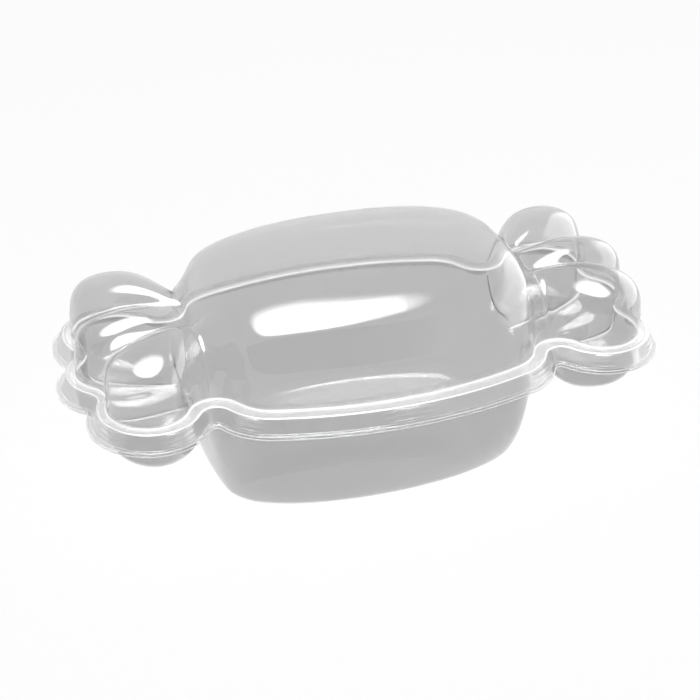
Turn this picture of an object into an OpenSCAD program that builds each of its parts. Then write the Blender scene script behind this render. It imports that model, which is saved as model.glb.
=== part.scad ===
// Clear candy-shaped cake box: a flat-bottomed tray and a lift-off lid, each one formed sheet.

/* [Plan] */
// Half width over the lip, at the middle of the long sides
half_width = 66.2; // [50:0.1:90]
// Radius of the bowed long side
side_radius = 196; // [150:1:300]
// Radius where the long side turns in to the neck
shoulder_radius = 27; // [18:0.5:36]
// Distance from the middle to the far end of the shoulder
shoulder_reach = 75; // [65:0.5:90]
// Distance along the box from the end of the shoulder to the centre of a side lobe
lobe_offset = 22.5; // [18:0.5:27]
// Distance from the long axis to the centre of a side lobe
lobe_spread = 30.3; // [24:0.1:38]
// Radius of a side lobe over the lip
lobe_radius = 25.1; // [18:0.1:32]
// Distance along the box from the centres of the side lobes to the centre of the end lobe
tip_offset = 7.5; // [5:0.5:12]
// Radius of an end lobe over the lip
tip_radius = 22.9; // [16:0.1:30]
// Radius of the lip in the notch at the neck
neck_fillet = 2.5; // [1:0.1:6]
// Radius of the lip in the notch between two lobes
valley_fillet = 2.5; // [1:0.1:6]

/* [Rim] */
// Thickness of the formed sheet
wall = 0.5; // [0.3:0.05:1]
// Width of the flat lip round the bottom of the skirt
lip_width = 1.7; // [1:0.1:4]
// How far the skirt spreads from its top to its foot
skirt_flare = 2.4; // [1:0.1:5]
// Height of the lid's skirt
skirt_height = 6; // [3:0.1:12]
// Width of the flat shelf between the skirt and the hollow, along the body
shelf_width = 5.6; // [3:0.1:12]
// Width of that shelf round the lobes
lobe_shelf = 3.7; // [2:0.1:12]
// Gap between the lid's skirt and the tray's skirt
skirt_gap = 0.3; // [0.15:0.05:1]
// Gap between the two lips
lip_gap = 0.9; // [0.3:0.1:3]
// How far a snap bead stands out of the lid's skirt
bead_height = 0.5; // [0.2:0.1:1]

/* [Lid form] */
// Height of the dome over the shelf
dome_height = 42; // [25:0.5:70]
// Height of a side lobe's crest
lobe_crest = 29.8; // [18:0.5:40]
// Height of an end lobe's crest
tip_crest = 28.7; // [18:0.5:40]
// Height of the crease between two lobes
lobe_crease = 20; // [8:0.5:30]
// Height of a side lobe's root at the neck
lobe_root = 22; // [8:0.5:30]
// Height of the end lobe's root at the neck
tip_root = 21; // [8:0.5:30]
// Height of the crease at the neck
crease_root = 20; // [6:0.5:25]

/* [Tray form] */
// Depth of the hollow from the shelf to the floor
tray_depth = 54; // [35:0.5:75]
// Depth the tray's round section would have if the floor didn't cut it flat
bowl_depth = 80; // [54:0.5:110]
// Half the height over which the wall turns into the floor
floor_turn = 4; // [1:0.5:10]
// Depth of a side lobe
tray_lobe = 25.3; // [15:0.5:35]
// Depth of an end lobe
tray_tip = 24; // [15:0.5:35]
// Depth of the crease between two lobes
tray_crease = 16; // [8:0.5:30]
// Depth of a side lobe's root at the neck
tray_lobe_root = 15; // [8:0.5:30]
// Depth of the end lobe's root at the neck
tray_tip_root = 19.5; // [8:0.5:30]
// Depth of the crease at the neck
tray_crease_root = 17.5; // [6:0.5:25]

/* [Shape shares] */
// Roundness of the dome's section: 0.5 is an ellipse, less is squarer
dome_round_share = 0.36; // [0.2:0.01:0.6]
// Roundness of the dome along its length
dome_end_share = 0.32; // [0.2:0.01:0.6]
// Roundness of the tray's section
bowl_round_share = 0.44; // [0.2:0.01:0.6]
// Roundness of the tray along its length
bowl_end_share = 0.33; // [0.2:0.01:0.6]
// Where a lobe starts to fall towards its outer end
lobe_start_share = 0.5; // [0.2:0.01:0.6]
// How sharply a lobe turns down at its outer end
lobe_drop_share = 0.17; // [0.1:0.01:0.5]
// Roundness of a side lobe's outer flank
flank_share = 0.6; // [0.2:0.01:0.8]
// Roundness of the flank at the neck
root_flank_share = 0.6; // [0.2:0.01:0.8]
// Part of a lobe's length over which it swells from its root
swell_share = 0.6; // [0.3:0.05:1]
// Place of the crease across the neck
crease_share = 0.25; // [0.2:0.01:0.4]
// Place of the crest of the lid's side lobe across the neck
crest_share = 0.45; // [0.42:0.01:0.8]
// Place of the deepest line of the tray's side lobe across the neck
tray_crest_share = 0.62; // [0.42:0.01:0.8]

/* [Smoothness] */
// Steps along half a long side
side_steps = 5; // [3:1:20]
// Steps round a shoulder
shoulder_steps = 3; // [2:1:12]
// Steps round half a neck notch
neck_steps = 2; // [1:1:8]
// Steps round a side lobe
lobe_steps = 7; // [4:1:24]
// Steps round half an end lobe
tip_steps = 4; // [2:1:12]
// Rows along a lobe
lobe_rows = 6; // [3:1:20]

/* [Hidden] */

// The two shelves touch at this height, with the tray's floor at zero
seam_height = tray_depth + wall;
clear_plastic = [0.86, 0.88, 0.9, 0.45];

// Widths measured inwards from the lip's edge, on the lid's upper face
skirt_top = lip_width + skirt_flare;
foot_line = skirt_top + shelf_width;
skirt_slant = norm([skirt_flare, skirt_height]);
// How far a wall's inner corner stands in from its outer corner on the slanted skirt
mitre = wall * (skirt_slant - skirt_flare) / skirt_height;

// Centres of the circles that make up a quarter of the outline
side_centre = [0, half_width - side_radius];
shoulder_run = side_radius - shoulder_radius;
shoulder_x = shoulder_reach - shoulder_radius;
shoulder_centre = [shoulder_x, side_centre.y + sqrt(pow(shoulder_run, 2) - pow(shoulder_x, 2))];
lobe_centre = [shoulder_reach + lobe_offset, lobe_spread];
tip_centre = [shoulder_reach + lobe_offset + tip_offset, 0];
neck_centre = touching(shoulder_centre, shoulder_radius, lobe_centre, lobe_radius, neck_fillet);
valley_centre = touching(lobe_centre, lobe_radius, tip_centre, tip_radius, valley_fillet);

// Centre of a circle of radius r that touches two others from outside, to the left of a to b
function touching(a, ra, b, rb, r) =
    let (gap = norm(b - a), along = (b - a) / gap,
         far_a = ra + r, far_b = rb + r,
         x = (gap * gap + far_a * far_a - far_b * far_b) / (gap + gap),
         y = sqrt(far_a * far_a - x * x))
    a + x * along + y * [-along.y, along.x];

function bearing(from, to) = atan2(to.y - from.y, to.x - from.x);
function turned(angle) = angle < 0 ? angle + 360 : angle;

// Points of an arc with the outline's outward direction: side is 1 on a bulge and -1 in a notch
function arc(centre, radius, start, stop, steps, side) =
    [for (i = [0 : steps])
        let (angle = start + (stop - start) * i / steps, way = [cos(angle), sin(angle)])
        [centre + radius * way, side * way]];

function without_first(list) = [for (i = [1 : len(list) - 1]) list[i]];

// A quarter of the outline, from the middle of the long side to the tip
quarter = concat(
    arc(side_centre, side_radius, 90, bearing(side_centre, shoulder_centre), side_steps, 1),
    without_first(arc(shoulder_centre, shoulder_radius, bearing(side_centre, shoulder_centre),
        bearing(shoulder_centre, neck_centre), shoulder_steps, 1)),
    without_first(arc(neck_centre, neck_fillet, turned(bearing(neck_centre, shoulder_centre)),
        turned(bearing(neck_centre, lobe_centre)), neck_steps + neck_steps, -1)),
    without_first(arc(lobe_centre, lobe_radius, bearing(lobe_centre, neck_centre),
        bearing(lobe_centre, valley_centre), lobe_steps, 1)),
    without_first(arc(valley_centre, valley_fillet, turned(bearing(valley_centre, lobe_centre)),
        turned(bearing(valley_centre, tip_centre)), 2, -1)),
    without_first(arc(tip_centre, tip_radius, bearing(tip_centre, valley_centre), 0, tip_steps, 1)));

// Places in that quarter: the neck, the crease between lobes, and its end
neck_at = side_steps + shoulder_steps + neck_steps;
crease_at = neck_at + neck_steps + lobe_steps + 1;
tip_at = crease_at + 1 + tip_steps;
// Steps across half the box, and the one that follows the crease
half_across = tip_at - neck_at;
crease_across = tip_at - crease_at;
across = half_across + half_across;
along = neck_at + neck_at;
round_steps = 4 * tip_at;

// A point of the quarter, moved in by a width and set in its own quadrant by signs
function inset(i, width) = quarter[i][0] - width * quarter[i][1];
function signed(point, way) = [point.x * way.x, point.y * way.y];

// Quadrant and quarter index of step k round the outline, clockwise from the middle of the far side
quadrant_ways = [[1, 1], [1, -1], [-1, -1], [-1, 1]];
function quadrant(k) = floor(k / tip_at) % 4;
function quarter_index(k) = quadrant(k) % 2 == 0 ? k % tip_at : tip_at - k % tip_at;
function outline_point(k, width) = signed(inset(quarter_index(k), width), quadrant_ways[quadrant(k)]);

// Rounded fall from 1 at the middle to 0 at 1
function fall(u, start_share, end_share) =
    pow(max(0, 1 - pow(min(1, abs(u)), 1 / start_share)), end_share);

// Arc-shaped hump: 1 at 0 and 0 at 1
hump_angle = 60;
function hump(u) = (sqrt(1 - pow(u * sin(hump_angle), 2)) - cos(hump_angle)) / (1 - cos(hump_angle));

// Share of the half width at step b from the centreline, with the crease at its own share
function across_share(b) = b <= crease_across
    ? crease_share * b / crease_across
    : crease_share + (1 - crease_share) * (b - crease_across) / (half_across - crease_across);

// Height of the fluted section at share u, for a list of [side lobe's height, end lobe's height,
// crease's height, side lobe's flank share, side lobe's crest share]
function fluted(u, list) = u <= crease_share
    ? list[2] + (list[1] - list[2]) * hump(u / crease_share)
    : u <= list[4]
    ? list[2] + (list[0] - list[2]) * hump((list[4] - u) / (list[4] - crease_share))
    : list[0] * fall((u - list[4]) / (1 - list[4]), list[3], list[3]);

// The section would shrink to nothing at this half length of the dome, and this of the bowl
neck_x = inset(neck_at, foot_line).x;
dome_reach = neck_x + shelf_width;
bowl_reach = neck_x + skirt_top;

// A form is [body height, section share, length share, list for the lobes, list for the neck,
// limit, reach]
lid_form = [dome_height, dome_round_share, dome_end_share,
    [lobe_crest, tip_crest, lobe_crease, flank_share, crest_share],
    [lobe_root, tip_root, crease_root, root_flank_share, crest_share],
    dome_height + floor_turn, dome_reach];
tray_form = [bowl_depth, bowl_round_share, bowl_end_share,
    [tray_lobe, tray_tip, tray_crease, flank_share, tray_crest_share],
    [tray_lobe_root, tray_tip_root, tray_crease_root, root_flank_share, tray_crest_share],
    tray_depth, bowl_reach];

// Height cut flat at a limit, with a rounded turn up to it
function levelled(height, limit) = height >= limit + floor_turn ? limit
    : height <= limit - floor_turn ? height
    : height - pow(height - limit + floor_turn, 2) / (4 * floor_turn);

// The body meets the neck in a short rounded end face, and two forms blend by this share
end_face = inset(neck_at, foot_line).x - inset(neck_at - neck_steps, foot_line).x;
blend_share = 0.13;
function joined(a, b) = pow(pow(a, 1 / blend_share) + pow(b, 1 / blend_share), blend_share);

// Shares across the body: even on the arc at the middle, and those of the lobes at the neck
even_share = 0.6;
function body_share(x_share, b) =
    let (near_neck = pow(max(0, (x_share - even_share) / (1 - even_share)), 2))
    (1 - near_neck) * sin(90 * b / half_across) + near_neck * across_share(b);

function body_height(form, x, u, b) =
    let (root = fluted(across_share(b), form[4]) * pow(x / neck_x, 2),
         bowl = form[0] * fall(x / form[6], form[2], form[2]) * fall(u, form[1], form[1]),
         end = min(1, max(0, (neck_x - x) / end_face)))
    levelled(root + (joined(bowl, root) - root) * sqrt(end), form[5]);

// Point of the body: i counts along from the left neck, j counts across from the near side
function body_point(form, width, level, way, i, j) =
    let (a = abs(i - neck_at), b = abs(j - half_across),
         foot = inset(a, width), place = inset(a, foot_line),
         u = body_share(place.x / neck_x, b),
         height = b == half_across ? 0 : body_height(form, place.x, u, b))
    [sign(i - neck_at) * foot.x, sign(j - half_across) * foot.y * u, level + way * height];

// How much narrower the shelf is at index i of the quarter than along the body
narrow_steps = 0.8 * (neck_steps + lobe_steps);
function narrowing(i) = (shelf_width - lobe_shelf) * sin(90 * min(1, (i - neck_at) / narrow_steps));

// Point of a lobe end: r counts out from the neck, side is -1 at the left and 1 at the right
function lobe_point(form, width, level, way, side, r, j) =
    let (b = abs(j - half_across), u = across_share(b), s = 1 - pow(1 - r / lobe_rows, row_share),
         root = inset(neck_at, width), foot = inset(tip_at - b, width - narrowing(tip_at - b)),
         start = [root.x, root.y * u], place = start + (foot - start) * s,
         swell = sin(90 * min(1, s / swell_share)),
         low = fluted(u, form[4]), high = fluted(u, form[3]),
         height = (low + (high - low) * swell) * fall(s, lobe_start_share, lobe_drop_share))
    [side * place.x, sign(j - half_across) * place.y, level + way * height];
// Rows of a lobe lie closer together towards its outer end
row_share = 1.6;

// One face of a sheet: the body's points, then each lobe end's, then the rim's rows from the lip in
body_count = (along + 1) * (across + 1);
lobe_count = lobe_rows * (across - 1);
function sheet_points(form, width, level, way, rim_rows) = concat(
    [for (i = [0 : along], j = [0 : across]) body_point(form, width, level, way, i, j)],
    [for (side = [-1, 1], r = [1 : lobe_rows], j = [1 : across - 1])
        lobe_point(form, width, level, way, side, r, j)],
    [for (row = rim_rows, k = [0 : round_steps - 1])
        let (bead = len(row) > 2 && has_bead(quarter_index(k)) ? row[2] : 0)
        concat(outline_point(k, row[0] - bead), level + row[1])]);

function body_id(i, j) = i * (across + 1) + j;
function lobe_id(side, r, j) = r == 0 || j == 0 || j == across
    ? body_id(side < 0 ? 0 : along, j)
    : body_count + (side < 0 ? 0 : lobe_count) + (r - 1) * (across - 1) + j - 1;
function foot_id(k) =
    let (way = quadrant_ways[quadrant(k)], i = quarter_index(k))
    i <= neck_at
    ? body_id(neck_at + way.x * i, half_across + way.y * half_across)
    : lobe_id(way.x, lobe_rows, half_across + way.y * (tip_at - i));
function rim_id(rows, row, k) = row == rows
    ? foot_id(k % round_steps)
    : body_count + lobe_count + lobe_count + row * round_steps + k % round_steps;

// Two triangles of a four-sided patch, cut so that the four quadrants mirror each other
function split(a, b, c, d, mirrored) = mirrored
    ? [[a, b, c], [a, c, d]]
    : [[b, c, d], [b, d, a]];
function kept(list) = [for (patch = list, t = patch) if (t[0] != t[1] && t[1] != t[2] && t[2] != t[0]) t];

// Triangles of a face, clockwise from above
function sheet_faces(rows) = kept(concat(
    [for (i = [0 : along - 1], j = [0 : across - 1])
        split(body_id(i, j), body_id(i, j + 1), body_id(i + 1, j + 1), body_id(i + 1, j),
            (i < neck_at) == (j < half_across))],
    [for (r = [0 : lobe_rows - 1], j = [0 : across - 1])
        split(lobe_id(1, r, j), lobe_id(1, r, j + 1), lobe_id(1, r + 1, j + 1), lobe_id(1, r + 1, j),
            j >= half_across)],
    [for (r = [0 : lobe_rows - 1], j = [0 : across - 1])
        split(lobe_id(-1, r + 1, j), lobe_id(-1, r + 1, j + 1), lobe_id(-1, r, j + 1), lobe_id(-1, r, j),
            j < half_across)],
    [for (row = [0 : rows - 1], k = [0 : round_steps - 1])
        split(rim_id(rows, row, k), rim_id(rows, row, k + 1),
            rim_id(rows, row + 1, k + 1), rim_id(rows, row + 1, k), quadrant(k) % 2 == 0)]));

function moved(faces, shift) = [for (f = faces) [f[2] + shift, f[1] + shift, f[0] + shift]];

// A sheet between its upper and its lower face, closed round the edge of the lip
module sheet(upper, upper_rows, lower, lower_rows) {
    shift = len(upper);
    edge = kept([for (k = [0 : round_steps - 1])
        let (a = rim_id(upper_rows, 0, k), b = rim_id(upper_rows, 0, k + 1),
             c = shift + rim_id(lower_rows, 0, k), d = shift + rim_id(lower_rows, 0, k + 1))
        split(b, a, c, d, quadrant(k) % 2 == 0)]);
    polyhedron(points = concat(upper, lower),
        faces = concat(sheet_faces(upper_rows), moved(sheet_faces(lower_rows), shift), edge));
}

// Beads on the lid's skirt: a pair of ridges on each side, shoulder and side lobe
bead_places = [0, side_steps + 1, neck_at + neck_steps + 2, neck_at + neck_steps + 5];
function has_bead(i) = len(search(i, bead_places)) > 0;
bead_shares = [0.22, 0.36, 0.5, 0.64, 0.78];

// Rows of a rim as [width in from the lip's edge, height over the shelf, bead], from the edge in
lid_upper_rim = concat(
    [[0, -skirt_height], [lip_width, -skirt_height]],
    [for (n = [0 : len(bead_shares) - 1])
        [lip_width + skirt_flare * bead_shares[n], -skirt_height * (1 - bead_shares[n]),
            n % 2 == 1 ? bead_height : 0]],
    [[skirt_top, 0]]);
lid_lower_rim = [[0, -skirt_height], [lip_width + mitre, -skirt_height], [skirt_top + mitre, 0]];

// The tray's skirt stands inside the lid's, and its lip lies below the lid's lip
tray_skirt_top = skirt_top + mitre + skirt_gap;
tray_skirt_height = skirt_height + lip_gap;
tray_lip_width = tray_skirt_top - skirt_flare * tray_skirt_height / skirt_height;
tray_upper_rim = [[0, -tray_skirt_height], [tray_lip_width, -tray_skirt_height], [tray_skirt_top, 0]];
tray_lower_rim = [[0, -tray_skirt_height], [tray_lip_width + mitre, -tray_skirt_height],
    [tray_skirt_top + mitre, 0]];

// Flat-bottomed tray: one formed sheet with a deep body and three shallow lobes at each end
module tray() {
    color(clear_plastic)
        sheet(sheet_points(tray_form, foot_line + wall, seam_height, -1, tray_upper_rim),
            len(tray_upper_rim),
            sheet_points(tray_form, foot_line, seam_height - wall, -1, tray_lower_rim),
            len(tray_lower_rim));
}

// Lift-off lid: one formed sheet with a domed body and three lobes at each end
module lid() {
    color(clear_plastic)
        sheet(sheet_points(lid_form, foot_line, seam_height + wall, 1, lid_upper_rim),
            len(lid_upper_rim),
            sheet_points(lid_form, foot_line + wall, seam_height, 1, lid_lower_rim),
            len(lid_lower_rim));
}

tray();
lid();
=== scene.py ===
"""Clear candy-shaped cake box: a flat-bottomed tray and a lift-off domed lid, each one formed sheet."""
from math import atan2, ceil, cos, hypot, pi, radians, sin, sqrt, tau

import bpy
from mathutils import Matrix, Vector


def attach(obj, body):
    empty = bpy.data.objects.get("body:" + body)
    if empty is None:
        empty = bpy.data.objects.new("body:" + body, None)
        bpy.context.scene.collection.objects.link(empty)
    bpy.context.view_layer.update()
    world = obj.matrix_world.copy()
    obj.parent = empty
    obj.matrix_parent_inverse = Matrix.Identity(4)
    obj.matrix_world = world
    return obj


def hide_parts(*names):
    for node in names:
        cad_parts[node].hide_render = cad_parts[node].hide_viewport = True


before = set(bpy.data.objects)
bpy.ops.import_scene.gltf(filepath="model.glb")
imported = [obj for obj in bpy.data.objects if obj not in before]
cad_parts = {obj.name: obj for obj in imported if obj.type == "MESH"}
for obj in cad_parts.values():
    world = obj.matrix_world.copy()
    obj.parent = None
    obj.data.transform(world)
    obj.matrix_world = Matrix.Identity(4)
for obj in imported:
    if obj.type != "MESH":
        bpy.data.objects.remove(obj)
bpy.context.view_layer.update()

MM = 0.001

# Sizes of the box in millimetres, as the part's source has them
HALF_WIDTH = 66.2
SIDE_RADIUS = 196
SHOULDER_RADIUS = 27
SHOULDER_REACH = 75
LOBE_REACH = SHOULDER_REACH + 22.5
LOBE_SPREAD = 30.3
LOBE_RADIUS = 25.1
TIP_REACH = LOBE_REACH + 7.5
TIP_RADIUS = 22.9
NECK_FILLET = 2.5
VALLEY_FILLET = 2.5

WALL = 0.5
LIP_WIDTH = 1.7
SKIRT_FLARE = 2.4
SKIRT_HEIGHT = 6
SHELF_WIDTH = 5.6
LOBE_SHELF = 3.7
SKIRT_GAP = 0.3
LIP_GAP = 0.9
BEAD_HEIGHT = 0.5
DOME_HEIGHT = 42
TRAY_DEPTH = 54
BOWL_DEPTH = 80
FLOOR_TURN = 4
SEAM = TRAY_DEPTH + WALL

# Widths inwards from the lip's edge, to the middle of the sheet
SLANT = hypot(SKIRT_FLARE, SKIRT_HEIGHT)
MITRE = WALL * (SLANT - SKIRT_FLARE) / SKIRT_HEIGHT
FOOT_LINE = LIP_WIDTH + SKIRT_FLARE + SHELF_WIDTH
SHEET_FOOT = FOOT_LINE + WALL / 2
LID_LIP_WIDTH = LIP_WIDTH + MITRE / 2
LID_SKIRT_TOP = LIP_WIDTH + SKIRT_FLARE + MITRE / 2
TRAY_SKIRT_TOP = LIP_WIDTH + SKIRT_FLARE + MITRE + SKIRT_GAP + MITRE / 2
TRAY_SKIRT_HEIGHT = SKIRT_HEIGHT + LIP_GAP
TRAY_LIP_WIDTH = TRAY_SKIRT_TOP - SKIRT_FLARE * TRAY_SKIRT_HEIGHT / SKIRT_HEIGHT

# The sheets are drawn a little thinner than they are, so that the faces of the two shelves
# don't lie in one plane
DRAWN_WALL = 0.42

# Turns of the rim's profile: at the lip, at the skirt's top and into the hollow
LIP_ROUND = 0.5
LID_SKIRT_ROUND = 1.2
TRAY_SKIRT_ROUND = 0.7
FOOT_ROUND = 1.2

# Form of each hollow: heights of the body, the lobes' crests and the roots at the neck, and the
# shares that round them. Way is 1 upwards and -1 downwards. The dome never reaches its level limit.
LOBE_SHARES = {"Lobe start": 0.5, "Lobe drop": 0.17, "Flank roundness": 0.6, "Swell": 0.6}
LID_FORM = {
    "Sheet level": (SEAM + WALL / 2) * MM, "Way": 1,
    "Body height": DOME_HEIGHT * MM, "Level limit": (DOME_HEIGHT + FLOOR_TURN) * MM,
    "Section roundness": 0.36, "Length roundness": 0.32, "Reach over the neck": 5.6 * MM,
    "Side crest": 29.8 * MM, "End crest": 28.7 * MM, "Crease": 20 * MM,
    "Side root": 22 * MM, "End root": 21 * MM, "Crease root": 20 * MM,
    "Crest place": 0.45, "Bead height": BEAD_HEIGHT * MM, **LOBE_SHARES,
}
TRAY_FORM = {
    "Sheet level": (SEAM - WALL / 2) * MM, "Way": -1,
    "Body height": BOWL_DEPTH * MM, "Level limit": TRAY_DEPTH * MM,
    "Section roundness": 0.44, "Length roundness": 0.33, "Reach over the neck": 4.1 * MM,
    "Side crest": 25.3 * MM, "End crest": 24 * MM, "Crease": 16 * MM,
    "Side root": 15 * MM, "End root": 19.5 * MM, "Crease root": 17.5 * MM,
    "Crest place": 0.62, "Bead height": 0, **LOBE_SHARES,
}
# Place of the crease between two lobes, across the half width of the neck
CREASE_SHARE = 0.25
# Softness of the blend between the body and the lobes' roots
BLEND_SHARE = 0.13
# Half the angle of the arc that a lobe's hump is cut from
HUMP_ANGLE = radians(60)

# Fineness of the drawn mesh: steps along each stretch of the outline, rows out along a lobe,
# steps round a corner of the rim, and the longest step between those corners in millimetres
SIDE_STEPS = 22
SHOULDER_STEPS = 10
NECK_STEPS = 6
LOBE_STEPS = 28
VALLEY_STEPS = 4
TIP_STEPS = 14
LOBE_ROWS = 36
CORNER_STEPS = 8
LID_RIM_STEP = 0.35
TRAY_RIM_STEP = 1.2

# How closely the mesh lines gather towards the outside of the hollow, where it is steep
WALL_PACKING = 1.4
ROW_PACKING = 3
# Share of the way to the neck up to which the lines lie for the body alone, not for the lobes
EVEN_SHARE = 0.6
# Blurring that takes the mesh's small kinks out of the hollow, and the shares of its width and
# length from which on the edge stays as it is
SOFTENING = 0.6
SOFTENING_ROUNDS = 4
FIRM_ACROSS = 0.995
FIRM_ALONG = 0.999

# Snap beads: places along a quarter of the outline, each with half its length in steps
BEAD_PLACES = [
    (0, 4),
    (SIDE_STEPS + 5, 3),
    (SIDE_STEPS + SHOULDER_STEPS + 2 * NECK_STEPS + 7, 2.6),
    (SIDE_STEPS + SHOULDER_STEPS + 2 * NECK_STEPS + 19, 2.6),
]
BEAD_RIDGES = 3
# Shares of the skirt's height between which the ridges stand, and how fast they rise at the ends
BEAD_LOW = 0.12
BEAD_HIGH = 0.9
BEAD_END_RISE = 3

# Painted highlights, from 0 to 1: matt white laid on the sheet where it is cut, bent or stretched, in place
# of the glints there
CUT_PAINTED_HIGHLIGHT = 0.6
LIP_PAINTED_HIGHLIGHT = 0.3
SKIRT_TOP_PAINTED_HIGHLIGHT = 0.5
FOOT_PAINTED_HIGHLIGHT = 0.85
BEAD_PAINTED_HIGHLIGHT = 0.22
LID_CREASE_PAINTED_HIGHLIGHT = 0.25
TRAY_CREASE_PAINTED_HIGHLIGHT = 0.5
# Painted light: faint matt white over the skirt and the shelf, which makes them look lighter
SKIRT_PAINTED_LIGHT = 0.1
SHELF_PAINTED_LIGHT = 0.11
# How far in from the lip's cut edge the painted highlight reaches, and how sharply a bend's painted
# highlight ends
CUT_WIDTH = 0.3
BEND_SHARPNESS = 2.5
# How fast the skirt's painted light comes in over its foot, and how far off level the shelf may be
PAINTED_LIGHT_RISE = 8
SHELF_SLACK = 0.2
# How much of the rim's lighter tint, which is painted light, the skirt has
SKIRT_RIM_LIGHTENING = 0.4

# Attributes of the finished mesh that its material reads
RIM_SHARE = "rim_share"
PAINTED_HIGHLIGHT_SHARE = "fold"

# Finish of the clear sheet: greys are linear, and the wave's depth is in metres
LID_GREY = 0.735
# Painted shade: the tray's grey is darker than the lid's for the shadowed ground seen through it
TRAY_GREY = 0.63
# Painted light: the rim is tinted lighter than the walls so that it looks lit
RIM_GREY = 0.87
# Painted shade: the dark grey that the walls turn to where they are seen edge on, and from where that starts
EDGE_ON_SHADE_GREY = 0.15
STEEP_START = 0.78
SHEET_ROUGHNESS = 0.03
SHEET_IOR = 1.5
WAVE_SCALE = 45
WAVE_STRENGTH = 0.25
WAVE_DEPTH = 0.0004
# Matt white and roughness of the painted highlights
PAINTED_HIGHLIGHT_GREY = 0.95
PAINTED_HIGHLIGHT_ROUGHNESS = 0.3
SHADOW_GREY = 0.93

# Floor and world, in metres and linear greys
FLOOR_REACH = 6
FLOOR_DROP = 0.0002
FLOOR_GREY = 0.9
FLOOR_ROUGHNESS = 0.9
FLOOR_GLOW = 0.85
WORLD_GREY = 0.8
WORLD_STRENGTH = 0.6

# Dark card over the camera, and where along the box it fades in
DARK_CORNERS = [(-2.8, -1.4, 0.06), (0.8, -1.4, 0.06), (0.8, -0.74, 1.22), (-2.8, -0.74, 1.22)]
DARK_FADE_START = 0.8
DARK_FADE_STOP = 0.1
DARK_GREY = 0.02

# Share of straight up from which a lamp counts as overhead
OVERHEAD = 0.9

# Enough bounces for light to pass through all the walls that lie behind each other
SHEET_BOUNCES = 40
GLOSSY_BOUNCES = 16

# The photograph's view, found from the outline of the lip: angles, and lengths in millimetres
VIEW_TURN = radians(20.31)
VIEW_RISE = radians(31.13)
VIEW_ROLL = radians(1.106)
VIEW_DISTANCE = 852.2
VIEW_RIGHT = -2.673
VIEW_UP = -8.211
SENSOR_WIDTH = 36
FOCAL_PIXELS = 2028.7
PICTURE_PIXELS = 700
NEAREST_SEEN = 0.01


def touching(a, a_radius, b, b_radius, radius):
    """Centre of a circle that touches two others from outside, to the left of a to b."""
    gap = b - a
    along = gap.normalized()
    reach_a = a_radius + radius
    reach_b = b_radius + radius
    x = (gap.length_squared + reach_a ** 2 - reach_b ** 2) / (2 * gap.length)
    y = sqrt(reach_a ** 2 - x ** 2)
    return a + x * along + y * Vector((-along.y, along.x))


def bearing(start, end):
    """Direction from one point to another."""
    return atan2(end.y - start.y, end.x - start.x)


def arc(centre, radius, start, stop, steps, side):
    """Points of an arc with the outline's outward direction: side is 1 on a bulge, -1 in a notch."""
    rows = []
    for step in range(steps + 1):
        angle = start + (stop - start) * step / steps
        way = Vector((cos(angle), sin(angle)))
        rows.append((centre + radius * way, side * way))
    return rows


def quarter_outline():
    """A quarter of the lip's edge, from the middle of the far side to the right tip."""
    side = Vector((0, HALF_WIDTH - SIDE_RADIUS))
    run = SIDE_RADIUS - SHOULDER_RADIUS
    shoulder_x = SHOULDER_REACH - SHOULDER_RADIUS
    shoulder = Vector((shoulder_x, side.y + sqrt(run ** 2 - shoulder_x ** 2)))
    lobe = Vector((LOBE_REACH, LOBE_SPREAD))
    tip = Vector((TIP_REACH, 0))
    neck = touching(shoulder, SHOULDER_RADIUS, lobe, LOBE_RADIUS, NECK_FILLET)
    valley = touching(lobe, LOBE_RADIUS, tip, TIP_RADIUS, VALLEY_FILLET)
    turn = bearing(side, shoulder)
    stretches = [
        arc(side, SIDE_RADIUS, pi / 2, turn, SIDE_STEPS, 1),
        arc(shoulder, SHOULDER_RADIUS, turn, bearing(shoulder, neck), SHOULDER_STEPS, 1),
        arc(neck, NECK_FILLET, bearing(neck, shoulder) % tau, bearing(neck, lobe) % tau,
            2 * NECK_STEPS, -1),
        arc(lobe, LOBE_RADIUS, bearing(lobe, neck), bearing(lobe, valley), LOBE_STEPS, 1),
        arc(valley, VALLEY_FILLET, bearing(valley, lobe) % tau, bearing(valley, tip) % tau,
            2 * VALLEY_STEPS, -1),
        arc(tip, TIP_RADIUS, bearing(tip, valley), 0, TIP_STEPS, 1),
    ]
    points = stretches[0]
    for stretch in stretches[1:]:
        points = points + stretch[1:]
    return points


# Steps of the quarter from its start to the notches and the tip, and steps of whole patches
QUARTER = quarter_outline()
NECK_AT = SIDE_STEPS + SHOULDER_STEPS + NECK_STEPS
CREASE_AT = NECK_AT + NECK_STEPS + LOBE_STEPS + VALLEY_STEPS
TIP_AT = CREASE_AT + VALLEY_STEPS + TIP_STEPS
HALF_ACROSS = TIP_AT - NECK_AT
CREASE_ACROSS = TIP_AT - CREASE_AT
ACROSS = 2 * HALF_ACROSS
ALONG = 2 * NECK_AT
ROUND_STEPS = 4 * TIP_AT
QUADRANTS = [(1, 1), (1, -1), (-1, -1), (-1, 1)]

# Steps of the outline over which the shelf narrows, out from the neck
NARROW_STEPS = 0.8 * (NECK_STEPS + LOBE_STEPS)
# The part of the shelf, as widths from the lip's edge, that gives way
SHELF_START = FOOT_LINE - SHELF_WIDTH + 1
SHELF_STOP = FOOT_LINE - FOOT_ROUND


def inset(step, width):
    """A point of the quarter, moved in from the lip's edge."""
    point, outward = QUARTER[step]
    return point - width * outward


def narrowed(step, width):
    """A point of the rim or the foot: round the lobes the shelf is narrower than along the body."""
    turn = min(1, max(0, step - NECK_AT) / NARROW_STEPS)
    share = min(1, max(0, width - SHELF_START) / (SHELF_STOP - SHELF_START))
    return inset(step, width - (SHELF_WIDTH - LOBE_SHELF) * sin(pi / 2 * turn) * share)


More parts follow.
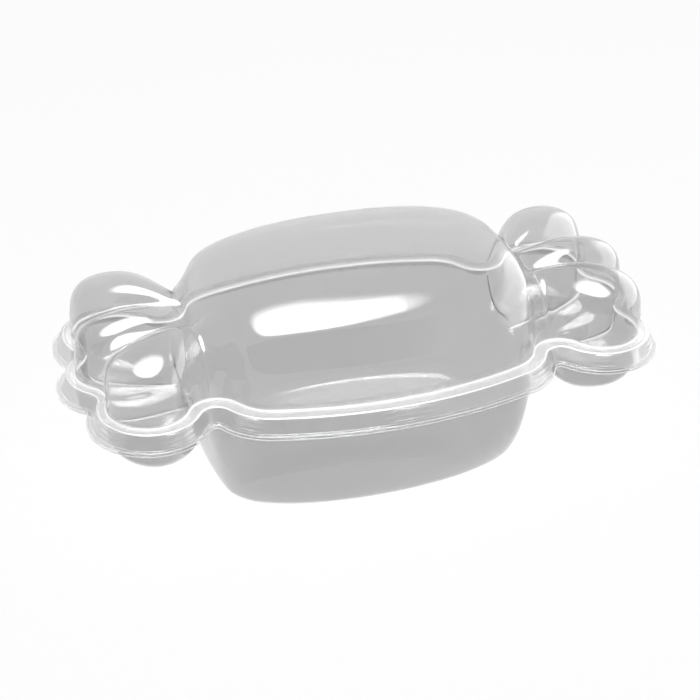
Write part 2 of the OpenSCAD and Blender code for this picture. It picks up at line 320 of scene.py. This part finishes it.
def quarter_step(round_step):
    """Quadrant and quarter step of a step round the outline, clockwise from the far side."""
    quadrant = round_step // TIP_AT % 4
    step = round_step % TIP_AT
    return quadrant, step if quadrant % 2 == 0 else TIP_AT - step


def across_share(lines_out):
    """Share of the half width at a line from the centreline, with the crease at its own share."""
    if lines_out <= CREASE_ACROSS:
        return CREASE_SHARE * lines_out / CREASE_ACROSS
    beyond = (lines_out - CREASE_ACROSS) / (HALF_ACROSS - CREASE_ACROSS)
    return CREASE_SHARE + (1 - CREASE_SHARE) * beyond


def body_share(x_share, lines_out):
    """The same for the body, whose lines lie for its steep wall and turn to the lobes' at the neck."""
    near_neck = max(0, (x_share - EVEN_SHARE) / (1 - EVEN_SHARE)) ** 2
    packed = 1 - (1 - lines_out / HALF_ACROSS) ** WALL_PACKING
    return (1 - near_neck) * sin(pi / 2 * packed) + near_neck * across_share(lines_out)


def bead_closeness(step):
    """1 at the middle of a bead and 0 from its end on."""
    return max(0, max(1 - abs(step - place) / half for place, half in BEAD_PLACES))


# Half the body's length at the foot line, and how far its end face reaches in from there
NECK_X = inset(NECK_AT, FOOT_LINE).x
END_FACE = NECK_X - inset(NECK_AT - NECK_STEPS, FOOT_LINE).x

BODY, LOBE, RIM = 0, 1, 2
SHARE_NAMES = ["part", "along", "across", "fluting", "rise", "skirt", "bead", PAINTED_HIGHLIGHT_SHARE]


class Plan:
    """The flat plan of one sheet: points with the shares that the form is worked out from."""

    def __init__(self, profile, crease_painted_highlight):
        self.points = []
        self.outward = []
        self.shares = {name: [] for name in SHARE_NAMES}
        self.profile = profile
        self.lay_body()
        self.lay_lobes(crease_painted_highlight)
        self.lay_rim()

    def add(self, x, y, outward=(0, 0), **shares):
        self.points.append((x * MM, y * MM, 0))
        self.outward.append((outward[0], outward[1], 0))
        for name, row in self.shares.items():
            row.append(shares.get(name, 0))

    def lay_body(self):
        """A grid from one neck to the other."""
        for station in range(ALONG + 1):
            step = abs(station - NECK_AT)
            x_share = inset(step, FOOT_LINE).x / NECK_X
            foot = inset(step, SHEET_FOOT)
            for line in range(ACROSS + 1):
                lines_out = abs(line - HALF_ACROSS)
                share = body_share(x_share, lines_out)
                x = foot.x if station >= NECK_AT else -foot.x
                y = foot.y * share if line >= HALF_ACROSS else -foot.y * share
                self.add(x, y, part=BODY, along=x_share, across=share, fluting=across_share(lines_out))

    def lay_lobes(self, crease_painted_highlight):
        """Rows from each neck out to the foot of the three lobes."""
        root = inset(NECK_AT, SHEET_FOOT)
        for side in (-1, 1):
            for row in range(1, LOBE_ROWS + 1):
                along = 1 - (1 - row / LOBE_ROWS) ** ROW_PACKING
                for line in range(1, ACROSS):
                    lines_out = abs(line - HALF_ACROSS)
                    share = across_share(lines_out)
                    start = Vector((root.x, root.y * share))
                    place = start.lerp(narrowed(TIP_AT - lines_out, SHEET_FOOT), along)
                    y = place.y if line >= HALF_ACROSS else -place.y
                    # Painted highlight along the crease between two lobes
                    fold = crease_painted_highlight if lines_out == CREASE_ACROSS else 0
                    self.add(side * place.x, y, part=LOBE, along=along, across=share, fluting=share,
                             fold=fold)

    def lay_rim(self):
        """Rings of the rim's profile, from the lip's edge in to the foot."""
        for width, rise, skirt, fold in self.profile:
            for round_step in range(ROUND_STEPS):
                quadrant, step = quarter_step(round_step)
                way = QUADRANTS[quadrant]
                place = narrowed(step, width)
                outward = QUARTER[step][1]
                self.add(way[0] * place.x, way[1] * place.y, (way[0] * outward.x, way[1] * outward.y),
                         part=RIM, rise=rise * MM, skirt=skirt, fold=fold, bead=bead_closeness(step))

    def body_id(self, station, line):
        return station * (ACROSS + 1) + line

    def lobe_id(self, side, row, line):
        if row == 0 or line in (0, ACROSS):
            return self.body_id(0 if side < 0 else ALONG, line)
        before = (ALONG + 1) * (ACROSS + 1) + (0 if side < 0 else LOBE_ROWS * (ACROSS - 1))
        return before + (row - 1) * (ACROSS - 1) + line - 1

    def rim_id(self, ring, round_step):
        if ring < len(self.profile):
            before = (ALONG + 1) * (ACROSS + 1) + 2 * LOBE_ROWS * (ACROSS - 1)
            return before + ring * ROUND_STEPS + round_step % ROUND_STEPS
        quadrant, step = quarter_step(round_step % ROUND_STEPS)
        way = QUADRANTS[quadrant]
        if step <= NECK_AT:
            return self.body_id(NECK_AT + way[0] * step, HALF_ACROSS + way[1] * HALF_ACROSS)
        return self.lobe_id(way[0], LOBE_ROWS, HALF_ACROSS + way[1] * (TIP_AT - step))

    def faces(self):
        """Faces with their corners anticlockwise from above, without those that have no area."""
        patches = []
        for station in range(ALONG):
            for line in range(ACROSS):
                patches.append((self.body_id(station, line), self.body_id(station + 1, line),
                                self.body_id(station + 1, line + 1), self.body_id(station, line + 1)))
        for side in (-1, 1):
            for row in range(LOBE_ROWS):
                for line in range(ACROSS):
                    near = (self.lobe_id(side, row, line), self.lobe_id(side, row, line + 1))
                    far = (self.lobe_id(side, row + 1, line), self.lobe_id(side, row + 1, line + 1))
                    if side > 0:
                        patches.append((near[0], far[0], far[1], near[1]))
                    else:
                        patches.append((far[0], near[0], near[1], far[1]))
        for ring in range(len(self.profile)):
            for step in range(ROUND_STEPS):
                patches.append((self.rim_id(ring, step), self.rim_id(ring + 1, step),
                                self.rim_id(ring + 1, step + 1), self.rim_id(ring, step + 1)))
        return [tuple(dict.fromkeys(patch)) for patch in patches if len(set(patch)) > 2]

    def mesh(self, name):
        mesh = bpy.data.meshes.new(name)
        mesh.from_pydata(self.points, [], self.faces())
        for share, row in self.shares.items():
            mesh.attributes.new(share, "FLOAT", "POINT").data.foreach_set("value", row)
        flat = [number for way in self.outward for number in way]
        mesh.attributes.new("outward", "FLOAT_VECTOR", "POINT").data.foreach_set("vector", flat)
        return mesh


def rounded(corners):
    """A profile of (width, height, painted highlight) through corners of (width, height, radius, painted
    highlight).
    """
    rows = [(corners[0][0], corners[0][1], corners[0][3])]
    for before, corner, after in zip(corners, corners[1:], corners[2:]):
        point = Vector(corner[:2])
        back = (Vector(before[:2]) - point).normalized()
        ahead = (Vector(after[:2]) - point).normalized()
        half_angle = back.angle(ahead) / 2
        centre = point + (back + ahead).normalized() * (corner[2] / sin(half_angle))
        leg = corner[2] * cos(half_angle) / sin(half_angle)
        start = point + back * leg - centre
        stop = point + ahead * leg - centre
        turn = start.angle_signed(stop)
        for step in range(CORNER_STEPS + 1):
            share = step / CORNER_STEPS
            place = centre + Matrix.Rotation(-turn * share, 2) @ start
            # A bend's painted highlight is strongest at its middle
            rows.append((place.x, place.y, corner[3] * sin(pi * share) ** BEND_SHARPNESS))
    return rows


def filled(rows, longest):
    """The same profile with no step longer than this, and each point's share of the skirt."""
    low = rows[0][1]
    full = [rows[0]]
    for before, after in zip(rows, rows[1:]):
        pieces = max(1, ceil(hypot(after[0] - before[0], after[1] - before[1]) / longest))
        for piece in range(1, pieces + 1):
            full.append(tuple(a + (b - a) * piece / pieces for a, b in zip(before, after)))
    profile = []
    for width, height, white in full:
        skirt = (height - low) / -low if low < height < 0 else 0
        # Painted light on the skirt and the shelf, in the same share as the painted highlights
        painted_light = SKIRT_PAINTED_LIGHT * min(1, PAINTED_LIGHT_RISE * skirt)
        if width < FOOT_LINE and abs(height) < SHELF_SLACK:
            painted_light = SHELF_PAINTED_LIGHT
        profile.append((width, height, skirt, max(white, painted_light)))
    return profile


def rim_profile(lip_width, skirt_top, skirt_height, skirt_round, way, longest):
    """Lip, skirt, shelf and the turn into the hollow: way is 1 for the lid and -1 for the tray."""
    # Painted highlights at the cut edge, the lip, the skirt's top and the foot
    corners = [
        (0, -skirt_height, 0, CUT_PAINTED_HIGHLIGHT),
        (lip_width, -skirt_height, LIP_ROUND, LIP_PAINTED_HIGHLIGHT),
        (skirt_top, 0, skirt_round, SKIRT_TOP_PAINTED_HIGHLIGHT),
        (SHEET_FOOT, 0, FOOT_ROUND, FOOT_PAINTED_HIGHLIGHT),
        (SHEET_FOOT, way * 2 * FOOT_ROUND, 0, 0),
    ]
    rows = rounded(corners)[:-1]
    cut_end = (CUT_WIDTH, -skirt_height, 0)
    return filled([rows[0], cut_end] + rows[1:], longest)


def feed(tree, node, sources):
    """Gives a node's inputs what they take: another node's output, or a plain value."""
    for name, source in sources.items():
        if isinstance(source, bpy.types.NodeSocket):
            tree.links.new(source, node.inputs[name])
        else:
            node.inputs[name].default_value = source


def add_node(tree, kind, sources=None, **settings):
    """A new node with its settings made first, because its inputs depend on them."""
    node = tree.nodes.new(kind)
    for name, setting in settings.items():
        setattr(node, name, setting)
    feed(tree, node, sources or {})
    return node


def new_group(kind, name, inputs, outputs):
    """An empty node group and its two ends: each input has a socket type and a first value."""
    group = bpy.data.node_groups.new(name, kind)
    for label, (socket_type, first) in inputs.items():
        socket = group.interface.new_socket(label, in_out="INPUT", socket_type=socket_type)
        if first is not None:
            socket.default_value = first
    for label, socket_type in outputs.items():
        group.interface.new_socket(label, in_out="OUTPUT", socket_type=socket_type)
    return group, add_node(group, "NodeGroupInput"), add_node(group, "NodeGroupOutput")


class Field:
    """A number worked out at every point of a mesh, written with ordinary arithmetic."""

    def __init__(self, tree, socket):
        self.tree = tree
        self.socket = socket

    def math(self, operation, *others, flip=False):
        sources = [value.socket if isinstance(value, Field) else value for value in (self, *others)]
        if flip:
            sources.reverse()
        node = add_node(self.tree, "ShaderNodeMath", dict(enumerate(sources)), operation=operation)
        return Field(self.tree, node.outputs[0])

    def __add__(self, other):
        return self.math("ADD", other)

    def __sub__(self, other):
        return self.math("SUBTRACT", other)

    def __rsub__(self, other):
        return self.math("SUBTRACT", other, flip=True)

    def __mul__(self, other):
        return self.math("MULTIPLY", other)

    def __truediv__(self, other):
        return self.math("DIVIDE", other)

    def __rtruediv__(self, other):
        return self.math("DIVIDE", other, flip=True)

    def __pow__(self, other):
        return self.math("POWER", other)

    def __lt__(self, other):
        return self.math("LESS_THAN", other)

    def __gt__(self, other):
        return self.math("GREATER_THAN", other)

    def least(self, other):
        return self.math("MINIMUM", other)

    def most(self, other):
        return self.math("MAXIMUM", other)

    def pick(self, when_true, when_false):
        """One of two fields, where this one is 1 or 0."""
        return when_false + (when_true - when_false) * self


def fall(u, start_share, end_share):
    """Rounded fall from 1 at the middle to 0 at 1."""
    return (1 - u.least(1) ** (1 / start_share)).most(0) ** end_share


def hump(u):
    """Arc-shaped hump: 1 at 0 and 0 at 1."""
    height = (1 - u * u * sin(HUMP_ANGLE) ** 2).math("SQRT")
    return (height - cos(HUMP_ANGLE)) / (1 - cos(HUMP_ANGLE))


def fluted(u, side, end, crease, place, flank):
    """Height of the fluted section: an end lobe, a crease and a side lobe with its crest's place."""
    end_hump = (end - crease) * hump(u / CREASE_SHARE) + crease
    inner_hump = (side - crease) * hump((place - u) / (place - CREASE_SHARE)) + crease
    outer_flank = side * fall((u - place) / (1 - place), flank, flank)
    outside = (u < place).pick(inner_hump, outer_flank)
    return (u < CREASE_SHARE).pick(end_hump, outside)


def levelled(height, limit):
    """Height cut flat at a limit, with a rounded turn up to it."""
    over = (height - limit + FLOOR_TURN * MM).most(0)
    turned = height - over * over / (4 * FLOOR_TURN * MM)
    return (height > limit + FLOOR_TURN * MM).pick(limit, turned)


def hollow_height(size, share):
    """Height of the hollow off its shelf: the body, blended into the roots of its lobes, or a lobe."""
    along = share["along"]
    place = size["Crest place"]
    flank = size["Flank roundness"]
    root = fluted(share["fluting"], size["Side root"], size["End root"], size["Crease root"], place, flank)
    crest = fluted(share["fluting"], size["Side crest"], size["End crest"], size["Crease"], place, flank)

    length = size["Length roundness"]
    section = size["Section roundness"]
    reach = size["Reach over the neck"] + NECK_X * MM
    bowl = size["Body height"] * fall(along * (NECK_X * MM) / reach, length, length)
    bowl = bowl * fall(share["across"], section, section)
    body_root = root * along * along
    union = (bowl / MM) ** (1 / BLEND_SHARE) + (body_root / MM) ** (1 / BLEND_SHARE)
    union = union ** BLEND_SHARE * MM
    end = ((1 - along) * (NECK_X / END_FACE)).most(0).least(1).math("SQRT")
    body = levelled(body_root + (union - body_root) * end, size["Level limit"])

    swell = ((along / size["Swell"]).least(1) * (pi / 2)).math("SINE")
    lobe = (root + (crest - root) * swell) * fall(along, size["Lobe start"], size["Lobe drop"])

    hollow = (share["part"] < (BODY + LOBE) / 2).pick(body, lobe)
    return (hollow * hollow + (FOOT_ROUND * MM) ** 2).math("SQRT") * size["Way"]


def formed_sheet_tree(name, material):
    """Raises a flat plan into a formed sheet and presses the snap beads into its skirt."""
    first = {**LID_FORM, "Bead ridges": BEAD_RIDGES, "Softening": SOFTENING}
    inputs = {"Geometry": ("NodeSocketGeometry", None)}
    inputs.update({label: ("NodeSocketFloat", value) for label, value in first.items()})
    tree, entry, leave = new_group("GeometryNodeTree", name, inputs, {"Geometry": "NodeSocketGeometry"})
    size = {label: Field(tree, entry.outputs[label]) for label in first}

    def read(attribute, kind="FLOAT"):
        node = add_node(tree, "GeometryNodeInputNamedAttribute", {"Name": attribute}, data_type=kind)
        return Field(tree, node.outputs["Attribute"])

    share = {attribute: read(attribute) for attribute in SHARE_NAMES}
    on_rim = share["part"] > (LOBE + RIM) / 2
    height = on_rim.pick(share["rise"], hollow_height(size, share)) + size["Sheet level"]
    position = add_node(tree, "GeometryNodeInputPosition")
    parts = add_node(tree, "ShaderNodeSeparateXYZ", {0: position.outputs[0]})
    raised = add_node(tree, "ShaderNodeCombineXYZ", {
        "X": parts.outputs["X"], "Y": parts.outputs["Y"], "Z": height.socket})
    sheet = add_node(tree, "GeometryNodeSetPosition", {
        "Geometry": entry.outputs["Geometry"], "Position": raised.outputs[0]})

    inside = (share["part"] < (LOBE + RIM) / 2) * (share["across"] < FIRM_ACROSS)
    inside = inside * (share["along"] < FIRM_ALONG) * size["Softening"]
    soften = add_node(tree, "GeometryNodeBlurAttribute", {
        "Value": position.outputs[0], "Iterations": SOFTENING_ROUNDS, "Weight": inside.socket,
    }, data_type="FLOAT_VECTOR")
    sheet = add_node(tree, "GeometryNodeSetPosition", {
        "Geometry": sheet.outputs[0], "Position": soften.outputs["Value"]})

    skirt = share["skirt"]
    ridge = ((skirt * size["Bead ridges"] * tau).math("COSINE") * -1).most(0)
    ridge = ridge * (skirt > BEAD_LOW) * (skirt < BEAD_HIGH)
    ridge = ridge * (share["bead"] * BEAD_END_RISE).least(1)
    push = add_node(tree, "ShaderNodeVectorMath", {
        0: read("outward", "FLOAT_VECTOR").socket, "Scale": (ridge * size["Bead height"]).socket,
    }, operation="SCALE")
    sheet = add_node(tree, "GeometryNodeSetPosition", {
        "Geometry": sheet.outputs[0], "Offset": push.outputs[0]})

    # Share of the rim's painted light, with less of it on the skirt
    clear = on_rim - (skirt > 0) * (1 - SKIRT_RIM_LIGHTENING)
    # Painted highlights: the plan's share, and matt white on the lid's bead ridges
    folds = share[PAINTED_HIGHLIGHT_SHARE].most(ridge * (size["Bead height"] > 0) * BEAD_PAINTED_HIGHLIGHT)
    for attribute, field in ((RIM_SHARE, clear), (PAINTED_HIGHLIGHT_SHARE, folds)):
        sheet = add_node(tree, "GeometryNodeStoreNamedAttribute", {
            "Geometry": sheet.outputs[0], "Name": attribute, "Value": field.socket}, data_type="FLOAT")
    sheet = add_node(tree, "GeometryNodeRealizeInstances", {0: sheet.outputs[0]})
    sheet = add_node(tree, "GeometryNodeSetMaterial", {
        "Geometry": sheet.outputs[0], "Material": material})
    feed(tree, leave, {0: sheet.outputs[0]})
    return tree


def formed_piece(name, node, plan, tree, form):
    """One formed sheet as a plain mesh, which stands for a CAD node and rides with its body."""
    draft = bpy.data.objects.new(name + "_draft", plan.mesh(name + "_plan"))
    bpy.context.collection.objects.link(draft)
    modifier = draft.modifiers.new("formed sheet", "NODES")
    modifier.node_group = tree
    for item in tree.interface.items_tree:
        if item.in_out == "INPUT" and item.name in form:
            modifier[item.identifier] = float(form[item.name])
    wall = draft.modifiers.new("wall", "SOLIDIFY")
    wall.thickness = DRAWN_WALL * MM
    wall.offset = 0
    bpy.context.view_layer.update()
    ready = draft.evaluated_get(bpy.context.evaluated_depsgraph_get())
    mesh = bpy.data.meshes.new_from_object(ready)
    mesh.name = name
    for spent in [*SHARE_NAMES, "outward"]:
        if spent != PAINTED_HIGHLIGHT_SHARE:
            mesh.attributes.remove(mesh.attributes[spent])
    mesh.shade_smooth()
    piece = bpy.data.objects.new(name, mesh)
    bpy.context.collection.objects.link(piece)
    bpy.data.objects.remove(draft)
    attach(piece, node)
    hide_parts(node)
    return piece


def grey(level):
    return (level, level, level, 1)


def new_material(name):
    """A material and its node tree, which starts with a Principled BSDF."""
    material = bpy.data.materials.new(name)
    material.use_nodes = True
    return material, material.node_tree


def mixed(tree, share, first, second):
    """One shader that gives way to another as the share goes from 0 to 1."""
    return add_node(tree, "ShaderNodeMixShader", {0: share, 1: first, 2: second}).outputs[0]


def rim_tint_effect():
    """Tint of a clear sheet, with its rim tinted lighter as painted light, and the mask of that rim."""
    group, entry, leave = new_group(
        "ShaderNodeTree", "rim_tint",
        {"Wall tint": ("NodeSocketColor", grey(TRAY_GREY)), "Rim tint": ("NodeSocketColor", grey(RIM_GREY))},
        {"Tint": "NodeSocketColor", "Rim": "NodeSocketFloat"})
    rim = add_node(group, "ShaderNodeAttribute", attribute_name=RIM_SHARE)
    tint = add_node(group, "ShaderNodeMix", {
        "Factor": rim.outputs["Fac"], "A": entry.outputs["Wall tint"], "B": entry.outputs["Rim tint"],
    }, data_type="RGBA")
    feed(group, leave, {"Tint": tint.outputs["Result"], "Rim": rim.outputs["Fac"]})
    return group


def formed_waves_effect():
    """Soft waviness of a wall that was formed hot, as a normal."""
    group, entry, leave = new_group(
        "ShaderNodeTree", "formed_waves",
        {"Scale": ("NodeSocketFloat", WAVE_SCALE), "Strength": ("NodeSocketFloat", WAVE_STRENGTH),
         "Depth": ("NodeSocketFloat", WAVE_DEPTH)},
        {"Normal": "NodeSocketVector"})
    place = add_node(group, "ShaderNodeTexCoord")
    waves = add_node(group, "ShaderNodeTexNoise", {
        "Vector": place.outputs["Object"], "Scale": entry.outputs["Scale"], "Detail": 1})
    bump = add_node(group, "ShaderNodeBump", {
        "Strength": entry.outputs["Strength"], "Distance": entry.outputs["Depth"],
        "Height": waves.outputs[0]})
    feed(group, leave, {"Normal": bump.outputs[0]})
    return group


def clear_sheet(name, wall_grey, rim_tint, formed_waves):
    """Clear formed plastic: glassy, faintly grey, with painted shade where it is seen edge on and painted
    highlights as white in folds.
    """
    material, tree = new_material(name)
    tint = add_node(tree, "ShaderNodeGroup", {
        "Wall tint": grey(wall_grey), "Rim tint": grey(RIM_GREY)}, node_tree=rim_tint)
    waves = add_node(tree, "ShaderNodeGroup", {
        "Scale": WAVE_SCALE, "Strength": WAVE_STRENGTH, "Depth": WAVE_DEPTH}, node_tree=formed_waves)
    # Painted shade: off the rim, the tint darkens to a dark grey where the sheet is seen edge on
    edge = add_node(tree, "ShaderNodeLayerWeight", {"Blend": 0.5})
    steep = add_node(tree, "ShaderNodeMapRange", {
        "Value": edge.outputs["Facing"], "From Min": STEEP_START, "From Max": 1,
    }, interpolation_type="SMOOTHSTEP")
    off_rim = add_node(tree, "ShaderNodeMath", {
        0: steep.outputs["Result"], 1: tint.outputs["Rim"]}, operation="SUBTRACT", use_clamp=True)
    edge_on_shaded = add_node(tree, "ShaderNodeMix", {
        "Factor": off_rim.outputs[0], "A": tint.outputs["Tint"], "B": grey(EDGE_ON_SHADE_GREY),
    }, data_type="RGBA")
    glass = tree.nodes["Principled BSDF"]
    feed(tree, glass, {
        "Base Color": edge_on_shaded.outputs["Result"], "Roughness": SHEET_ROUGHNESS, "IOR": SHEET_IOR,
        "Transmission Weight": 1, "Normal": waves.outputs["Normal"]})
    # Painted highlights: matt white mixed over the glass by that share
    folds = add_node(tree, "ShaderNodeAttribute", attribute_name=PAINTED_HIGHLIGHT_SHARE)
    white = add_node(tree, "ShaderNodeBsdfPrincipled", {
        "Base Color": grey(PAINTED_HIGHLIGHT_GREY), "Roughness": PAINTED_HIGHLIGHT_ROUGHNESS})
    sheet = mixed(tree, folds.outputs["Fac"], glass.outputs[0], white.outputs[0])
    through = add_node(tree, "ShaderNodeBsdfTransparent", {"Color": grey(SHADOW_GREY)})
    path = add_node(tree, "ShaderNodeLightPath")
    surface = mixed(tree, path.outputs["Is Shadow Ray"], sheet, through.outputs[0])
    feed(tree, tree.nodes["Material Output"], {"Surface": surface})
    return material


def seen_directly(tree):
    """1 for rays that look at a surface, straight or by way of glass or a reflection."""
    path = add_node(tree, "ShaderNodeLightPath")
    straight = add_node(tree, "ShaderNodeMath", {
        0: path.outputs["Is Camera Ray"], 1: path.outputs["Is Transmission Ray"]}, operation="MAXIMUM")
    either = add_node(tree, "ShaderNodeMath", {
        0: straight.outputs[0], 1: path.outputs["Is Glossy Ray"]}, operation="MAXIMUM")
    return either.outputs[0]


def pale_ground():
    """White paper that keeps a faint shadow."""
    material, tree = new_material("pale_ground")
    paper = tree.nodes["Principled BSDF"]
    feed(tree, paper, {"Base Color": grey(FLOOR_GREY), "Roughness": FLOOR_ROUGHNESS})
    glow = add_node(tree, "ShaderNodeEmission")
    share = add_node(tree, "ShaderNodeMath", {0: seen_directly(tree), 1: FLOOR_GLOW}, operation="MULTIPLY")
    surface = mixed(tree, share.outputs[0], paper.outputs[0], glow.outputs[0])
    feed(tree, tree.nodes["Material Output"], {"Surface": surface})
    return material


def studio_world():
    """A soft grey world that looks white."""
    world = bpy.data.worlds.new("studio")
    bpy.context.scene.world = world
    world.use_nodes = True
    tree = world.node_tree
    soft = add_node(tree, "ShaderNodeBackground", {"Color": grey(WORLD_GREY), "Strength": WORLD_STRENGTH})
    white = tree.nodes["Background"]
    feed(tree, white, {"Color": grey(1)})
    surface = mixed(tree, seen_directly(tree), soft.outputs[0], white.outputs[0])
    feed(tree, tree.nodes["World Output"], {"Surface": surface})


SQUARE = ((-1, -1), (1, -1), (1, 1), (-1, 1))
CARD_PLACE = "across_card"


def stage_board(name, corners, face, material):
    """A flat four-sided part of the stage."""
    mesh = bpy.data.meshes.new(name)
    mesh.from_pydata(corners, [], [face])
    mesh.materials.append(material)
    board = bpy.data.objects.new(name, mesh)
    bpy.context.collection.objects.link(board)
    return board


def floor():
    corners = [(x * FLOOR_REACH, y * FLOOR_REACH, -FLOOR_DROP) for x, y in SQUARE]
    stage_board("floor", corners, (0, 1, 2, 3), pale_ground())


def reflected_card(name, corners, material):
    """A card that reflections show, but that the camera and matt surfaces don't see."""
    card = stage_board(name, corners, (3, 2, 1, 0), material)
    card.visible_camera = False
    card.visible_diffuse = False
    card.visible_shadow = False
    return card


def dark_card():
    """A dark card over the camera, which fades out to the right."""
    material, tree = new_material("dark_felt")
    felt = tree.nodes["Principled BSDF"]
    feed(tree, felt, {"Base Color": grey(DARK_GREY), "Roughness": 1})
    place = add_node(tree, "ShaderNodeTexCoord")
    parts = add_node(tree, "ShaderNodeSeparateXYZ", {0: place.outputs["Object"]})
    fade = add_node(tree, "ShaderNodeMapRange", {
        "Value": parts.outputs["X"], "From Min": DARK_FADE_START, "From Max": DARK_FADE_STOP,
    }, interpolation_type="SMOOTHSTEP")
    through = add_node(tree, "ShaderNodeBsdfTransparent")
    surface = mixed(tree, fade.outputs["Result"], through.outputs[0], felt.outputs[0])
    feed(tree, tree.nodes["Material Output"], {"Surface": surface})
    reflected_card("dark_card", DARK_CORNERS, material).visible_transmission = False


def facing(lean, distance):
    """Placing of a lamp or card that faces the box from a direction (x, y, z), its width level."""
    away = Vector(lean).normalized()
    level = Vector((1, 0, 0)) if away.z > OVERHEAD else Vector((0, 0, 1)).cross(away)
    level = (level - away * level.dot(away)).normalized()
    turned = Matrix((level, away.cross(level), away)).transposed().to_4x4()
    return Matrix.Translation(away * distance + Vector((0, 0, SEAM * MM))) @ turned


def upper_light(lean, distance, width, depth, power):
    """Lamp over the box, which lights it and makes its shadow, and which reflections don't show."""
    data = bpy.data.lights.new("upper_light", "AREA")
    data.shape = "RECTANGLE"
    data.size = width
    data.size_y = depth
    data.energy = power
    lamp = bpy.data.objects.new("upper_light", data)
    lamp.visible_glossy = False
    lamp.matrix_world = facing(lean, distance)
    bpy.context.collection.objects.link(lamp)


def oval_glow(name, radiance, near_edge, far_edge):
    """Light inside an oval that fills its card, with its soft edge wider at the top than below."""
    material, tree = new_material(name)
    tree.nodes.remove(tree.nodes["Principled BSDF"])
    spot = add_node(tree, "ShaderNodeAttribute", attribute_name=CARD_PLACE)
    parts = add_node(tree, "ShaderNodeSeparateXYZ", {0: spot.outputs["Vector"]})
    reach = add_node(tree, "ShaderNodeVectorMath", {0: spot.outputs["Vector"]}, operation="LENGTH")
    full = add_node(tree, "ShaderNodeMapRange", {
        "Value": parts.outputs["Y"], "From Min": -1, "From Max": 1,
        "To Min": 1 - near_edge, "To Max": 1 - far_edge})
    fade = add_node(tree, "ShaderNodeMapRange", {
        "Value": reach.outputs["Value"], "From Min": 1, "From Max": full.outputs["Result"],
    }, interpolation_type="SMOOTHSTEP")
    glow = add_node(tree, "ShaderNodeEmission", {"Strength": radiance})
    through = add_node(tree, "ShaderNodeBsdfTransparent")
    surface = mixed(tree, fade.outputs["Result"], through.outputs[0], glow.outputs[0])
    feed(tree, tree.nodes["Material Output"], {"Surface": surface})
    return material


def light_card(name, lean, distance, width, depth, radiance, near_edge, far_edge):
    """An oval card that reflections show as a light."""
    place = facing(lean, distance)
    corners = [place @ Vector((x * width / 2, y * depth / 2, 0)) for x, y in SQUARE]
    card = reflected_card(name, corners, oval_glow(name, radiance, near_edge, far_edge))
    across = card.data.attributes.new(CARD_PLACE, "FLOAT_VECTOR", "POINT")
    for point, (x, y) in zip(across.data, SQUARE):
        point.vector = (x, y, 0)


def camera():
    """The photograph's camera, turned about the middle of the seam."""
    ahead = Vector((sin(VIEW_TURN) * cos(VIEW_RISE), cos(VIEW_TURN) * cos(VIEW_RISE), -sin(VIEW_RISE)))
    level_right = Vector((cos(VIEW_TURN), -sin(VIEW_TURN), 0))
    level_up = level_right.cross(ahead)
    right = cos(VIEW_ROLL) * level_right + sin(VIEW_ROLL) * level_up
    up = cos(VIEW_ROLL) * level_up - sin(VIEW_ROLL) * level_right
    data = bpy.data.cameras.new("camera")
    data.sensor_width = SENSOR_WIDTH
    data.lens = FOCAL_PIXELS * SENSOR_WIDTH / PICTURE_PIXELS
    data.clip_start = NEAREST_SEEN
    viewer = bpy.data.objects.new("camera", data)
    place = right * VIEW_RIGHT + up * VIEW_UP - ahead * VIEW_DISTANCE + Vector((0, 0, SEAM))
    turned = Matrix((right, up, -ahead)).transposed().to_4x4()
    viewer.matrix_world = Matrix.Translation(place * MM) @ turned
    bpy.context.collection.objects.link(viewer)
    bpy.context.scene.camera = viewer


def studio():
    """World, floor and lamps, and the cards that the sheets reflect."""
    studio_world()
    floor()
    upper_light(lean=(0.03, -0.1, 1), distance=1.2, width=0.8, depth=0.55, power=8.3)
    light_card("upper_shine", lean=(-0.06, -0.08, 1), distance=1.2, width=1.36, depth=1.14,
               radiance=12, near_edge=0.06, far_edge=0.85)
    light_card("right_shine", lean=(1, 0.07, 0.16), distance=1.35, width=2.7, depth=2,
               radiance=3, near_edge=0.2, far_edge=0.3)
    dark_card()


def cake_box():
    """The tray and the lid of the one plastic; the tray's grey, darker than the lid's, is painted shade of
    the shadowed ground seen through it.
    """
    rim_tint = rim_tint_effect()
    formed_waves = formed_waves_effect()
    tray_sheet = clear_sheet("clear_tray_sheet", TRAY_GREY, rim_tint, formed_waves)
    lid_sheet = clear_sheet("clear_lid_sheet", LID_GREY, rim_tint, formed_waves)
    tray_rim = rim_profile(TRAY_LIP_WIDTH, TRAY_SKIRT_TOP, TRAY_SKIRT_HEIGHT, TRAY_SKIRT_ROUND,
                           way=-1, longest=TRAY_RIM_STEP)
    lid_rim = rim_profile(LID_LIP_WIDTH, LID_SKIRT_TOP, SKIRT_HEIGHT, LID_SKIRT_ROUND,
                          way=1, longest=LID_RIM_STEP)
    formed_piece("formed_tray", "tray", Plan(tray_rim, TRAY_CREASE_PAINTED_HIGHLIGHT),
                 formed_sheet_tree("formed_tray_sheet", tray_sheet), TRAY_FORM)
    formed_piece("formed_lid", "lid", Plan(lid_rim, LID_CREASE_PAINTED_HIGHLIGHT),
                 formed_sheet_tree("formed_lid_sheet", lid_sheet), LID_FORM)


bpy.context.scene.view_settings.view_transform = "Standard"
bpy.context.scene.cycles.max_bounces = SHEET_BOUNCES
bpy.context.scene.cycles.transmission_bounces = SHEET_BOUNCES
bpy.context.scene.cycles.glossy_bounces = GLOSSY_BOUNCES
camera()
studio()
cake_box()
